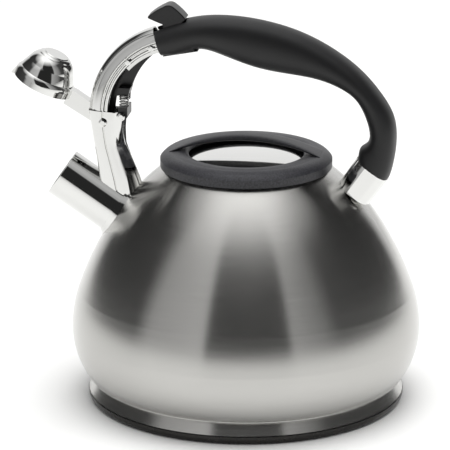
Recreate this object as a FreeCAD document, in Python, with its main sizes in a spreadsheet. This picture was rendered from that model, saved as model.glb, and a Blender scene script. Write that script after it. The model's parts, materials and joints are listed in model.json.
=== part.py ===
import FreeCAD, Part
import math
import os
import re
import Sketcher

# Stovetop whistling kettle, millimetres.
# Origin at the centre of the base on the hob, +Z up, spout towards -X.
# The arm, cap, link and trigger are drawn where they stand with the spout open.

doc = FreeCAD.newDocument("WhistlingKettle")

sizes = doc.addObject("Spreadsheet::Sheet", "Sizes")
aliases = []


def addSizes(group):
    for alias, number in group.items():
        aliases.append(alias)
        sizes.set("A%d" % len(aliases), alias)
        sizes.set("B%d" % len(aliases), str(number))
        sizes.setAlias("B%d" % len(aliases), alias)


# body and base
addSizes({
    "body_radius": 110.0,
    "belly_height": 46.0,
    "belly_radius_low": 51.0,
    "belly_radius_high": 75.4,
    "flank_radius": 207.0,
    "flank_angle": 19.5,
    "shoulder_radius": 131.6,
    "shoulder_angle": 33.5,
    "mouth_angle": 53.9,
    "shell_wall": 0.9,
    "band_inset": 10.3,
    "valley_inset": 14.3,
    "valley_height": 13.4,
    "lip_height": 3.0,
    "base_height": 5.0,
    "base_wall": 0.8,
    "base_inset": 10.0,
    "base_edge": 3.4,
})
# spout, whistle arm and cap
addSizes({
    "spout_lean": 56.0,
    "spout_outer": 15.7,
    "spout_wall": 1.0,
    "spout_reach": 62.0,
    "collar_radius": 18.0,
    "collar_step": 17.0,
    "collar_top": 40.5,
    "collar_middle": 42.3,
    "pivot_inset": 20.5,
    "pivot_rise": 26.5,
    "arm_reach": 44.9,
    "arm_drop": 3.4,
    "cap_swing": 81.0,
    "arm_half_width": 4.0,
    "arm_depth": 8.6,
    "arm_boss": 4.6,
    "arm_root": 17.0,
    "cap_height": 21.1,
    "cap_radius": 19.5,
    "cap_wall": 1.1,
    "cap_disc": 7.75,
    "seal_radius": 16.8,
    "seal_bore": 8.0,
    "seal_gap": 0.3,
    "seal_depth": 2.2,
    "holder_wall": 0.8,
    "whistle_radius": 11.5,
    "whistle_height": 5.5,
    "whistle_hole": 2.6,
})
# front bracket, link and trigger
addSizes({
    "arch_inset": 69.4,
    "arch_rise": 31.5,
    "arch_outer": 58.6,
    "arch_inner": 45.5,
    "arch_start": 107.5,
    "arch_crease": 177.0,
    "bracket_half_width": 9.6,
    "bracket_wall": 1.9,
    "leg_foot_out": 21.0,
    "leg_foot_in": 48.0,
    "leg_foot_drop": 34.0,
    "arm_slot_gap": 0.8,
    "pivot_pin": 1.2,
    "pin_gap": 0.06,
    "crank_throw": 2.8,
    "crank_pin": 0.8,
    "crank_gap": 0.3,
    "link_half_swing": 2.214,
    "link_low": 34.8,
    "link_high": 49.8,
    "link_side": 6.1,
    "link_wall": 1.4,
    "link_body_top": 44.6,
    "tail_gap": 3.8,
    "tail_wall": 3.0,
    "trigger_pivot_radius": 54.0,
    "trigger_pivot_angle": 96.0,
    "trigger_throw": 8.8,
    "trigger_pin": 1.3,
    "trigger_half_width": 6.0,
    "trigger_web": 4.1,
    "trigger_height": 17.8,
    "trigger_gap": 0.4,
    "spring_radius": 3.15,
    "spring_wire": 0.45,
    "spring_length": 8.4,
    "spring_turns": 4.5,
    "spring_side": 3.7,
})
# handle and rear mount
addSizes({
    "handle_half_width": 13.5,
    "apex_inset": 96.0,
    "apex_rise": 95.7,
    "crown_front_radius": 107.0,
    "grip_end_run": 93.85,
    "grip_end_drop": 93.9,
    "ferrule_half_depth": 11.0,
    "bay_half_width": 7.8,
    "bay_roof": 2.6,
    "tongue_gap": 0.5,
    "ferrule_lean": 34.8,
    "ferrule_length": 20.0,
    "ferrule_long": 10.6,
    "ferrule_wide": 12.6,
    "mount_radius": 8.5,
    "mount_lean": 46.0,
    "stud_radius": 3.0,
    "stud_in_handle": 16.0,
})
# lid
addSizes({
    "lid_gap": 0.4,
    "lid_wall": 0.8,
    "skirt_depth": 9.0,
    "dome_rise": 3.6,
    "lid_rest": 0.3,
    "ring_outer": 54.0,
    "ring_inner": 36.0,
    "ring_rise": 6.0,
    "ring_drop": 3.2,
    "gasket_height": 1.2,
    "grip_half_width": 7.5,
    "grip_half_length": 43.0,
    "screw_radius": 1.6,
    "screw_head": 3.0,
})
doc.recompute()

aliasPattern = re.compile(r"\b(%s)\b" % "|".join(sorted(aliases, key=len, reverse=True)))


def bound(text):
    return aliasPattern.sub(r"Sizes.\1", str(text))


def number(text):
    return float(sizes.evalExpression(bound(text)))


# ---- places that several pieces share, written as expressions ----
highX = "(body_radius - belly_radius_high)"
flankX = "(%s - (flank_radius - belly_radius_high) * cos(flank_angle))" % highX
flankZ = "(belly_height - (flank_radius - belly_radius_high) * sin(flank_angle))"
shoulderX = "(%s + (flank_radius - shoulder_radius) * cos(shoulder_angle))" % flankX
shoulderZ = "(%s + (flank_radius - shoulder_radius) * sin(shoulder_angle))" % flankZ
rimX = "(%s + shoulder_radius * cos(mouth_angle))" % shoulderX
rimZ = "(%s + shoulder_radius * sin(mouth_angle))" % shoulderZ
lipTop = "(%s + lip_height)" % rimZ
mouthRadius = "(%s - 1.0)" % rimX

pivotX = "(pivot_inset - body_radius)"
pivotZ = "(%s + pivot_rise)" % rimZ
archX = "(arch_inset - body_radius)"
archZ = "(%s + arch_rise)" % rimZ
openLean = "(cap_swing - spout_lean)"
apexX = "(apex_inset - body_radius)"
apexZ = "(%s + apex_rise)" % rimZ


def archPoint(radius, angle):
    """Point on the bracket's arch: radius and angle from +X about its centre."""
    x = "(%s + (%s) * cos(%s))" % (archX, radius, angle)
    z = "(%s + (%s) * sin(%s))" % (archZ, radius, angle)
    return x, z


triggerX, triggerZ = archPoint("trigger_pivot_radius", "trigger_pivot_angle")


def place(part, x="0", y="0", z="0", lean="0"):
    """Put a piece at a point and lean its own Z axis by an angle towards +X."""
    part.setExpression(
        "Placement",
        "create(<<placement>>; create(<<vector>>; %s; %s; %s); "
        "create(<<rotation>>; create(<<vector>>; 0; 1; 0); %s))"
        % (bound(x), bound(y), bound(z), bound(lean)),
    )


def framePlace(part, lean):
    """Place a piece of the spout or cap: own Z along its axis, own X towards the arm pivot."""
    x = "%s - arm_reach * cos(%s) + arm_drop * sin(%s)" % (pivotX, lean, lean)
    z = "%s + arm_reach * sin(%s) + arm_drop * cos(%s)" % (pivotZ, lean, lean)
    place(part, x, "0", z, lean)


def newBody(label):
    body = doc.addObject("PartDesign::Body", "Body")
    body.Label = label
    return body


def newSketch(body, role):
    sketch = body.newObject("Sketcher::SketchObject", "Sketch")
    plane = [item for item in body.Origin.OriginFeatures if item.Role == role][0]
    sketch.AttachmentSupport = [(plane, "")]
    sketch.MapMode = "FlatFace"
    return sketch


def pinPoint(sketch, geometry, end, x, z):
    for kind, text in (("DistanceX", x), ("DistanceY", z)):
        if text == "0":
            axis = -2 if kind == "DistanceX" else -1
            sketch.addConstraint(Sketcher.Constraint("PointOnObject", geometry, end, axis))
            continue
        rule = Sketcher.Constraint(kind, -1, 1, geometry, end, number(text))
        index = sketch.addConstraint(rule)
        sketch.setExpression("Constraints[%d]" % index, bound(text))


def outline(sketch, start, *moves):
    """Closed outline. A move is (x, z) for a line or (x, z, radius, turn) for an arc.

    turn is +1 for an arc that turns left and -1 for one that turns right.
    """
    points = [start] + [move[:2] for move in moves]
    spots = [FreeCAD.Vector(number(x), number(z), 0) for x, z in points]
    previous = None
    first = None
    for index, move in enumerate(moves):
        a = spots[index]
        b = spots[index + 1]
        if len(move) == 2:
            geometry = sketch.addGeometry(Part.LineSegment(a, b), False)
            begin, finish = 1, 2
        else:
            radius = number(move[2])
            chord = b.sub(a)
            half = chord.Length / 2
            side = FreeCAD.Vector(-chord.y, chord.x, 0).normalize()
            centre = a.add(chord * 0.5).add(side * move[3] * math.sqrt(radius ** 2 - half ** 2))
            circle = Part.Circle(centre, FreeCAD.Vector(0, 0, 1), radius)
            low, high = (a, b) if move[3] > 0 else (b, a)
            span = (math.atan2(low.y - centre.y, low.x - centre.x),
                    math.atan2(high.y - centre.y, high.x - centre.x))
            geometry = sketch.addGeometry(Part.ArcOfCircle(circle, *span), False)
            begin, finish = (1, 2) if move[3] > 0 else (2, 1)
            rule = sketch.addConstraint(Sketcher.Constraint("Radius", geometry, radius))
            sketch.setExpression("Constraints[%d]" % rule, bound(move[2]))
        pinPoint(sketch, geometry, finish, *points[index + 1])
        if previous:
            sketch.addConstraint(Sketcher.Constraint("Coincident", previous[0], previous[1], geometry, begin))
        else:
            first = (geometry, begin)
        previous = (geometry, finish)
    sketch.addConstraint(Sketcher.Constraint("Coincident", previous[0], previous[1], *first))


def ring(sketch, x, z, radius):
    circle = Part.Circle(FreeCAD.Vector(number(x), number(z), 0), FreeCAD.Vector(0, 0, 1), number(radius))
    geometry = sketch.addGeometry(circle, False)
    rule = sketch.addConstraint(Sketcher.Constraint("Radius", geometry, number(radius)))
    sketch.setExpression("Constraints[%d]" % rule, bound(radius))
    pinPoint(sketch, geometry, 3, x, z)


def turned(body, start, *moves, cut=False):
    """Revolve an outline drawn in the body's own XZ plane about its own Z axis."""
    sketch = newSketch(body, "XZ_Plane")
    outline(sketch, start, *moves, start)
    kind = "PartDesign::Groove" if cut else "PartDesign::Revolution"
    feature = body.newObject(kind, "Turn")
    feature.Profile = sketch
    feature.ReferenceAxis = (sketch, ["V_Axis"])
    feature.Angle = 360
    doc.recompute()
    return feature


def plate(body, width, draw, cut=False, role="XZ_Plane", offset=None):
    """Pad or pocket what draw() sketches, evenly to both sides or from an offset plane."""
    sketch = newSketch(body, role)
    draw(sketch)
    if offset is not None:
        sketch.setExpression("AttachmentOffset.Base.z", bound(offset))
    feature = body.newObject("PartDesign::Pocket" if cut else "PartDesign::Pad", "Plate")
    feature.Profile = sketch
    feature.SideType = "Symmetric" if offset is None else "One side"
    feature.setExpression("Length", bound(width))
    doc.recompute()
    return feature


def rounded(body, feature, pick, radius):
    """Fillet the edges of the latest feature that pick(edge) chooses."""
    names = ["Edge%d" % (n + 1) for n, edge in enumerate(feature.Shape.Edges) if pick(edge)]
    fillet = body.newObject("PartDesign::Fillet", "Round")
    fillet.Base = (feature, names)
    fillet.setExpression("Radius", bound(radius))
    doc.recompute()
    return fillet


def pin(label, x, z, radius, left, right, head="0", headDepth="0"):
    """A round pin across the object from y = left to y = right, with a head on each named end."""
    body = newBody(label)
    sketch = newSketch(body, "XY_Plane")
    outline(sketch, ("0", left), (radius, left), (radius, right), ("0", right), ("0", left))
    feature = body.newObject("PartDesign::Revolution", "Turn")
    feature.Profile = sketch
    feature.ReferenceAxis = (sketch, ["V_Axis"])
    feature.Angle = 360
    doc.recompute()
    if head != "0":
        sketch = newSketch(body, "XY_Plane")
        tip = "%s - (%s)" % (left, headDepth)
        outline(sketch, ("0", left), ("0", tip), ("(%s) * 0.6" % head, tip),
                (head, "%s - (%s) * 0.5" % (left, headDepth)), (head, left), ("0", left))
        feature = body.newObject("PartDesign::Revolution", "Head")
        feature.Profile = sketch
        feature.ReferenceAxis = (sketch, ["V_Axis"])
        feature.Angle = 360
        doc.recompute()
    place(body, x, "0", z)
    return body


def cutBy(label, base, *tools):
    result = base
    for tool in tools:
        cut = doc.addObject("Part::Cut", "Cut")
        cut.Base = result
        cut.Tool = tool
        result = cut
    base.Label = label + "_form"
    result.Label = label
    doc.recompute()
    return result


def grouped(label, *members):
    group = doc.addObject("Part::Compound", "Group")
    group.Links = list(members)
    group.Label = label
    doc.recompute()
    return group


subParts = []


# ---- body shell ----
def shellOutline(inset):
    """Side of the body from the base up to the mouth, moved inwards by a wall."""
    band = "body_radius - band_inset - %s" % inset
    valley = "body_radius - valley_inset - %s" % inset
    return [
        (band, "base_height + 0.6"),
        (valley, "valley_height - 0.7"),
        ("%s + 0.5" % valley, "valley_height + 0.4", "0.9", -1),
        ("body_radius - 11.4 - %s" % inset, "valley_height + 1.0"),
        ("body_radius - 10.5 - %s" % inset, "valley_height + 1.8", "1.3", 1),
        ("body_radius - %s" % inset, "belly_height", "belly_radius_low - %s" % inset, 1),
        ("%s + (belly_radius_high - %s) * cos(flank_angle)" % (highX, inset),
         "belly_height + (belly_radius_high - %s) * sin(flank_angle)" % inset,
         "belly_radius_high - %s" % inset, 1),
        ("%s + (flank_radius - %s) * cos(shoulder_angle)" % (flankX, inset),
         "%s + (flank_radius - %s) * sin(shoulder_angle)" % (flankZ, inset),
         "flank_radius - %s" % inset, 1),
        ("%s + (shoulder_radius - %s) * cos(mouth_angle)" % (shoulderX, inset),
         "%s + (shoulder_radius - %s) * sin(mouth_angle)" % (shoulderZ, inset),
         "shoulder_radius - %s" % inset, 1),
    ]


def solidBody(label):
    """The body without its hollow."""
    body = newBody(label)
    turned(body, ("0", "base_height"),
           ("body_radius - band_inset - 0.6", "base_height"),
           *shellOutline("0"),
           ("%s + shell_wall" % mouthRadius, "%s + 0.6" % rimZ),
           ("%s + shell_wall" % mouthRadius, lipTop),
           ("0", lipTop))
    return body


envelope = solidBody("body_envelope")

shell = solidBody("body_shell")
turned(shell, ("0", "base_height + shell_wall"),
       ("body_radius - valley_inset - shell_wall - 0.6", "base_height + shell_wall"),
       *shellOutline("shell_wall")[1:],
       (mouthRadius, "%s + 0.2" % rimZ),
       (mouthRadius, "%s + 1" % lipTop),
       ("0", "%s + 1" % lipTop), cut=True)

spoutBore = doc.addObject("Part::Cylinder", "SpoutBore")
spoutBore.Label = "spout_bore"
spoutBore.setExpression("Radius", bound("spout_outer - spout_wall"))
spoutBore.setExpression("Height", bound("spout_reach"))
boreLean = "-spout_lean"
place(spoutBore,
      "%s - arm_reach * cos(%s) + (arm_drop - spout_reach) * sin(%s)" % (pivotX, boreLean, boreLean),
      "0",
      "%s + arm_reach * sin(%s) + (arm_drop - spout_reach) * cos(%s)" % (pivotZ, boreLean, boreLean),
      boreLean)
subParts.append(cutBy("body_shell", shell, spoutBore))


# ---- base ----
def buildBase():
    rim = "body_radius - base_inset"
    cap = newBody("base_cap")
    turned(cap, ("0", "0"),
           ("%s - base_edge" % rim, "0"),
           (rim, "base_edge", "base_edge", 1),
           (rim, "base_height"),
           ("%s - base_wall" % rim, "base_height"),
           ("%s - base_wall" % rim, "base_edge"),
           ("%s - base_edge" % rim, "base_wall", "base_edge - base_wall", -1),
           ("0", "base_wall"))
    core = newBody("base_core")
    turned(core, ("0", "base_wall"),
           ("%s - base_edge" % rim, "base_wall"),
           ("%s - base_wall" % rim, "base_edge", "base_edge - base_wall", 1),
           ("%s - base_wall" % rim, "base_height"),
           ("0", "base_height"))
    return [cap, core]


subParts += buildBase()


# ---- spout ----
def spoutSolid():
    """The spout and its collar without the bore."""
    solid = newBody("spout_envelope")
    turned(solid, ("0", "-spout_reach"), ("collar_radius", "-spout_reach"),
           ("collar_radius", "-collar_middle"), ("collar_step", "-collar_middle"),
           ("collar_step", "-collar_top"), ("spout_outer", "-collar_top"),
           ("spout_outer", "0"), ("0", "0"))
    framePlace(solid, "-spout_lean")
    return solid


spoutEnvelope = spoutSolid()


def buildSpout():
    tube = newBody("spout_tube")
    turned(tube, ("spout_outer - spout_wall", "-spout_reach"),
           ("spout_outer", "-spout_reach"),
           ("spout_outer", "-0.5"),
           ("spout_outer - 0.5", "0", "0.5", 1),
           ("spout_outer - spout_wall", "0"))
    framePlace(tube, "-spout_lean")
    collar = newBody("spout_collar")
    turned(collar, ("spout_outer", "-spout_reach"),
           ("collar_radius", "-spout_reach"),
           ("collar_radius", "-collar_middle"),
           ("collar_step", "-collar_middle"),
           ("collar_step", "-collar_top"),
           ("spout_outer", "-collar_top"))
    framePlace(collar, "-spout_lean")
    return [cutBy("spout_tube", tube, envelope), cutBy("spout_collar", collar, envelope)]


subParts += buildSpout()


# ---- front bracket ----
def bracketOutline(sketch, inset, innerInset):
    """Side of the arch and leg; inset moves the outer edge in, innerInset the lid side."""
    top = archPoint("arch_outer - %s" % inset, "arch_start")
    crease = archPoint("arch_outer - %s" % inset, "arch_crease")
    innerTop = archPoint("arch_inner - %s" % innerInset, "arch_start")
    innerLow = archPoint("arch_inner - %s" % innerInset, "arch_crease - %s * 0.8" % innerInset)
    legOut = "(leg_foot_out + %s - body_radius)" % inset
    legIn = "(leg_foot_in + %s - body_radius)" % innerInset
    outline(sketch, top,
            (crease[0], crease[1], "arch_outer - %s" % inset, 1),
            ("(16.4 + %s - body_radius)" % inset, "%s - 2" % rimZ),
            (legOut, "%s - leg_foot_drop" % rimZ),
            (legIn, "%s - leg_foot_drop" % rimZ),
            ("(43.8 + %s - body_radius)" % innerInset, "%s - 13.5" % rimZ),
            ("(32.6 + %s - body_radius)" % innerInset, "%s + 15" % rimZ),
            ("(32.6 + %s - body_radius)" % innerInset, "%s + 29" % rimZ),
            ("(35.8 + %s - body_radius)" % innerInset, "%s + 33.8" % rimZ),
            innerLow,
            (innerTop[0], innerTop[1], "arch_inner - %s" % innerInset, -1),
            top)


def armSlot(sketch):
    """Window in the outer web that the arm swings through."""
    left = "(6 - body_radius)"
    right = "(%s - 2)" % pivotX
    outline(sketch, (left, "%s - 19" % pivotZ), (right, "%s - 16" % pivotZ),
            (right, "%s + 14" % pivotZ), (left, "%s + 19" % pivotZ), (left, "%s - 19" % pivotZ))


def buildBracket():
    bracket = newBody("front_bracket")
    solid = plate(bracket, "bracket_half_width * 2", lambda s: bracketOutline(s, "0", "0"))
    rim = number("bracket_half_width") - 0.01

    def longOuterEdge(edge):
        box = edge.BoundBox
        flat = min(abs(box.YMin), abs(box.YMax)) > rim and box.YLength < 0.01
        return flat and box.XMin < number("(19 - body_radius)") and box.ZLength > 2

    rounded(bracket, solid, longOuterEdge, "1.2")
    plate(bracket, "(bracket_half_width - bracket_wall) * 2",
          lambda s: bracketOutline(s, "bracket_wall", "9"), cut=True)
    plate(bracket, "(arm_half_width + arm_slot_gap) * 2", armSlot, cut=True)
    return bracket


bracketForm = buildBracket()


# ---- pivot pins, rivets and spring of the front bracket ----
seatX = "(33.3 - body_radius)"
seatTop = "(%s + 36.4)" % rimZ
springTop = "(%s + spring_length)" % seatTop


def buildPins():
    pivot = pin("arm_pivot_pin", pivotX, pivotZ, "pivot_pin", "-bracket_half_width",
                "arm_half_width", "2.6", "1.0")
    throwLean = "(cap_swing / 2 + 174.05)"
    crankX = "%s - crank_throw * cos(%s)" % (pivotX, throwLean)
    crankZ = "%s + crank_throw * sin(%s)" % (pivotZ, throwLean)
    crank = pin("arm_crank_pin", crankX, crankZ, "crank_pin", "-arm_half_width + 1", "link_side")
    cross = pin("spring_pin", "%s - 1.1" % seatX, "%s - 5.6" % seatTop, "1.4",
                "-bracket_half_width", "bracket_half_width", "2.5", "0.8")
    rivets = []
    for angle, radius in ((112.0, "arch_inner + 2.2"), (133.0, "arch_inner + 2.2")):
        x, z = archPoint(radius, str(angle))
        for side in (-1, 1):
            rivet = pin("rivet_%d_%d" % (angle, side), x, z, "1.0",
                        "-bracket_half_width", "-bracket_half_width + bracket_wall + 1.1", "1.9", "0.7")
            if side > 0:
                rivet.setExpression(
                    "Placement",
                    "create(<<placement>>; create(<<vector>>; %s; 0; %s); "
                    "create(<<rotation>>; create(<<vector>>; 0; 0; 1); 180))" % (bound(x), bound(z)))
            rivets.append(rivet)
    return pivot, crank, cross, grouped("bracket_rivets", *rivets)


armPin, crankPin, springPin, bracketRivets = buildPins()
subParts += [armPin, crankPin, springPin, bracketRivets]
subParts.append(cutBy("front_bracket", bracketForm, envelope, spoutEnvelope, armPin, springPin, bracketRivets))


def buildSpringSeat():
    """Block between the bracket's cheeks that the spring stands on."""
    inner = "(bracket_half_width - bracket_wall)"
    seat = newBody("spring_seat")

    def side(sketch):
        outline(sketch, ("%s - 3.3" % seatX, "%s - 8.6" % seatTop), ("%s + 0.2" % seatX, "%s - 8.6" % seatTop),
                ("%s + 2.6" % seatX, "%s - 6.2" % seatTop), ("%s + 2.6" % seatX, seatTop),
                ("%s - 3.3" % seatX, seatTop), ("%s - 3.3" % seatX, "%s - 8.6" % seatTop))

    plate(seat, "%s * 2" % inner, side)
    return cutBy("spring_seat", seat, springPin)


def buildSpring():
    coil = doc.addObject("Part::Helix", "Coil")
    coil.Label = "spring_line"
    mean = "spring_radius - spring_wire"
    coil.setExpression("Radius", bound(mean))
    coil.setExpression("Height", bound("spring_length - spring_wire * 2"))
    coil.setExpression("Pitch", bound("(spring_length - spring_wire * 2) / spring_turns"))
    wire = doc.addObject("Part::Circle", "Wire")
    wire.Label = "spring_section"
    wire.setExpression("Radius", bound("spring_wire"))
    wire.Placement = FreeCAD.Placement(FreeCAD.Vector(1, 0, 0), FreeCAD.Rotation(FreeCAD.Vector(1, 0, 0), 90))
    wire.setExpression("Placement.Base.x", bound(mean))
    spring = doc.addObject("Part::Sweep", "Spring")
    spring.Sections = [wire]
    spring.Spine = (coil, [])
    spring.Solid = True
    spring.Frenet = True
    spring.Label = "return_spring"
    place(spring, seatX, "-spring_side", "%s + spring_wire" % seatTop)
    doc.recompute()
    return spring


subParts += [buildSpringSeat(), buildSpring()]


# ---- tongue: steel strip that joins bracket and handle and carries the trigger ----
def crownPoint(inset, angle, radius="crown_front_radius"):
    """Point under the handle's crown, at an angle from its apex towards +X."""
    x = "(%s + (%s - (%s)) * sin(%s))" % (apexX, radius, inset, angle)
    z = "(%s - %s + (%s - (%s)) * cos(%s))" % (apexZ, radius, radius, inset, angle)
    return x, z


def tongueOutline(sketch, floor):
    low = archPoint("(43.4 + %s)" % floor, "138")
    lowEnd = archPoint("(43.4 + %s)" % floor, "92")
    high = archPoint("arch_outer - bracket_wall - 2.4", "138")
    step = archPoint("arch_outer - bracket_wall - 2.4", "112")
    roofStart = crownPoint("bay_roof + tongue_gap", "-23.6")
    roofEnd = crownPoint("bay_roof + tongue_gap", "-15")
    outline(sketch, low, (lowEnd[0], lowEnd[1], "43.4 + %s" % floor, -1),
            (roofEnd[0], "%s - 3" % roofEnd[1]), roofEnd,
            (roofStart[0], roofStart[1], "crown_front_radius - bay_roof - tongue_gap", 1),
            step, (high[0], high[1], "arch_outer - bracket_wall - 2.4", 1), low)


def tongueGap(sketch):
    low = archPoint("30", "150")
    lowEnd = archPoint("30", "80")
    high = archPoint("arch_outer - bracket_wall - 3.6", "145")
    step = archPoint("arch_outer - bracket_wall - 3.6", "116")
    outline(sketch, low, (lowEnd[0], lowEnd[1], "30", -1), ("%s + 35" % lowEnd[0], "%s + 20" % apexZ),
            ("%s + 3" % step[0], "%s + 20" % apexZ),
            step, (high[0], high[1], "arch_outer - bracket_wall - 3.6", 1), low)


def buildTongue():
    tongue = newBody("handle_tongue")
    plate(tongue, "(bracket_half_width - bracket_wall) * 2", lambda s: tongueOutline(s, "0"))
    plate(tongue, "(bracket_half_width - bracket_wall - 1.1) * 2", tongueGap, cut=True)
    plate(tongue, "40", lambda s: ring(s, triggerX, triggerZ, "trigger_pin"), cut=True)
    return cutBy("handle_tongue", tongue, bracketRivets)


subParts.append(buildTongue())


# ---- handle ----
# Stations along the grip from the bracket to the rear ferrule: the outer and the inner
# point of each section, measured from the crown's highest point, and half its width.
gripStations = [
    (-43.2, -9.1, -38.2, -25.7, 12.0),
    (-20.7, -2.0, -16.0, -20.8, 13.2),
    (2.0, 0.0, -1.0, -23.8, 13.5),
    (27.0, -2.9, 20.0, -31.0, 13.5),
    (50.0, -9.8, 41.0, -34.6, 13.5),
    (70.0, -20.4, 60.0, -37.6, 13.5),
    (88.0, -34.8, 76.0, -43.8, 13.5),
    (99.8, -49.0, 85.0, -52.0, 13.5),
    (107.4, -64.5, 91.4, -68.0, 13.4),
    (106.3, -91.0, 88.2, -79.5, 13.0),
    (number("grip_end_run + ferrule_half_depth * cos(ferrule_lean)"),
     number("-grip_end_drop - ferrule_half_depth * sin(ferrule_lean)"),
     number("grip_end_run - ferrule_half_depth * cos(ferrule_lean)"),
     number("-grip_end_drop + ferrule_half_depth * sin(ferrule_lean)"), 12.8),
]


def gripSection(station):
    """Closed smooth curve round the grip: a softened oval between its outer and inner points."""
    outerX, outerZ, innerX, innerZ, half = station
    middle = FreeCAD.Vector((outerX + innerX) / 2, 0, (outerZ + innerZ) / 2)
    across = FreeCAD.Vector((outerX - innerX) / 2, 0, (outerZ - innerZ) / 2)
    width = half * number("handle_half_width") / 13.5
    poles = []
    for step in range(12):
        angle = 2 * math.pi * step / 12
        depthPart = math.copysign(abs(math.cos(angle)) ** 0.82, math.cos(angle))
        widthPart = math.copysign(abs(math.sin(angle)) ** 0.82, math.sin(angle))
        poles.append(middle + across * depthPart * 1.055 + FreeCAD.Vector(0, width * widthPart * 1.055, 0))
    curve = Part.BSplineCurve()
    curve.buildFromPoles(poles, True, 3)
    return Part.Wire(curve.toShape())


def bayOutline(sketch):
    """Hollow at the front of the handle for the tongue, link and trigger."""
    roofStart = crownPoint("bay_roof", "-28")
    roofEnd = crownPoint("bay_roof", "-13")
    outline(sketch, ("(%s - 50)" % apexX, "(%s - 22.9)" % apexZ), ("(%s - 35)" % apexX, "(%s - 22.9)" % apexZ),
            ("(%s - 35)" % apexX, "(%s - 40)" % apexZ), ("(%s - 17.5)" % apexX, "(%s - 40)" % apexZ),
            ("(%s - 17.5)" % apexX, "(%s - 8)" % apexZ), roofEnd,
            (roofStart[0], roofStart[1], "crown_front_radius - bay_roof", 1),
            ("(%s - 50)" % apexX, "(%s - 22.9)" % apexZ))


def triggerSlot(sketch):
    outline(sketch, ("(%s - 50)" % apexX, "(%s - 12)" % apexZ), ("(%s - 24)" % apexX, "(%s - 12)" % apexZ),
            ("(%s - 22.6)" % apexX, "(%s + 6)" % apexZ), ("(%s - 50)" % apexX, "(%s + 6)" % apexZ),
            ("(%s - 50)" % apexX, "(%s - 12)" % apexZ))


def buildHandle():
    grip = doc.addObject("Part::Feature", "Grip")
    grip.Shape = Part.makeLoft([gripSection(station) for station in gripStations], True, False)
    grip.Label = "grip_loft"
    place(grip, apexX, "0", apexZ)
    bay = newBody("handle_bay")
    plate(bay, "bay_half_width * 2", bayOutline)
    slot = newBody("trigger_slot")
    plate(slot, "(trigger_half_width + trigger_gap) * 2", triggerSlot)
    return grip, [bay, slot]


def coverOutline(sketch):
    outline(sketch, ("(%s - 37.3)" % apexX, "(%s - 25.4)" % apexZ), ("(%s - 15.5)" % apexX, "(%s - 21.3)" % apexZ),
            ("(%s - 15.5)" % apexX, "(%s - 20.9)" % apexZ), ("(%s - 17.8)" % apexX, "(%s - 21.3)" % apexZ),
            ("(%s - 17.8)" % apexX, "(%s - 19.4)" % apexZ),
            ("(%s - 34.7)" % apexX, "(%s - 22.4)" % apexZ), ("(%s - 34.7)" % apexX, "(%s - 24.6)" % apexZ),
            ("(%s - 37.3)" % apexX, "(%s - 25.1)" % apexZ), ("(%s - 37.3)" % apexX, "(%s - 25.4)" % apexZ))


def buildCover():
    cover = newBody("handle_cover")
    plate(cover, "(bay_half_width - 0.2) * 2", coverOutline)
    return cover


gripForm, gripCuts = buildHandle()
coverForm = buildCover()


# ---- rear mount ----
endX = "(%s + grip_end_run)" % apexX
endZ = "(%s - grip_end_drop)" % apexZ


def along(distance):
    """Point on the rear mount's axis, this far below the handle's end."""
    return ("(%s - (%s) * sin(ferrule_lean))" % (endX, distance),
            "(%s - (%s) * cos(ferrule_lean))" % (endZ, distance))


def buildRear():
    ferrule = newBody("rear_ferrule")

    def tapered(depth, long, wide):
        sketch = newSketch(ferrule, "XY_Plane")
        outline(sketch, (long, "-(%s) * 0.45" % wide), (long, "(%s) * 0.45" % wide, wide, 1),
                ("(%s) * 0.45" % long, wide, "(%s) * 0.85" % long, 1),
                ("-(%s) * 0.45" % long, wide), ("-(%s)" % long, "(%s) * 0.45" % wide, "(%s) * 0.85" % long, 1),
                ("-(%s)" % long, "-(%s) * 0.45" % wide, wide, 1),
                ("-(%s) * 0.45" % long, "-(%s)" % wide, "(%s) * 0.85" % long, 1),
                ("(%s) * 0.45" % long, "-(%s)" % wide),
                (long, "-(%s) * 0.45" % wide, "(%s) * 0.85" % long, 1))
        sketch.setExpression("AttachmentOffset.Base.z", bound(depth))
        return sketch

    sections = [tapered("0", "ferrule_long", "ferrule_wide"),
                tapered("-ferrule_length * 0.55", "ferrule_long * 0.99", "ferrule_wide * 0.99"),
                tapered("-ferrule_length", "ferrule_long * 0.97", "ferrule_wide * 0.98")]
    doc.recompute()
    loft = ferrule.newObject("PartDesign::AdditiveLoft", "Loft")
    loft.Profile = sections[0]
    loft.Sections = sections[1:]
    loft.Ruled = False
    doc.recompute()
    place(ferrule, endX, "0", endZ, "ferrule_lean")

    mount = newBody("rear_mount")
    turned(mount, ("0", "-30"), ("mount_radius", "-30"), ("mount_radius * 0.95", "-1.4"),
           ("mount_radius * 0.95 - 1.6", "0", "1.8", 1), ("0", "0"))
    place(mount, along("ferrule_length - 0.4")[0], "0", along("ferrule_length - 0.4")[1], "mount_lean")

    stud = newBody("rear_stud_form")
    turned(stud, ("0", "-ferrule_length - 12"), ("stud_radius", "-ferrule_length - 12"),
           ("stud_radius", "stud_in_handle - 0.8"), ("stud_radius - 0.8", "stud_in_handle"), ("0", "stud_in_handle"))
    place(stud, endX, "0", endZ, "ferrule_lean")
    studPiece = cutBy("rear_stud", stud, envelope)
    mountPiece = cutBy("rear_mount", mount, envelope, studPiece)
    ferrulePiece = cutBy("rear_ferrule", ferrule, envelope, mountPiece, studPiece)
    return [ferrulePiece, mountPiece, studPiece]


rearPieces = buildRear()
subParts += rearPieces
gripPiece = cutBy("handle_grip", gripForm, *gripCuts, rearPieces[2])
subParts.append(gripPiece)
subParts.append(cutBy("handle_cover", coverForm, gripPiece))


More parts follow.
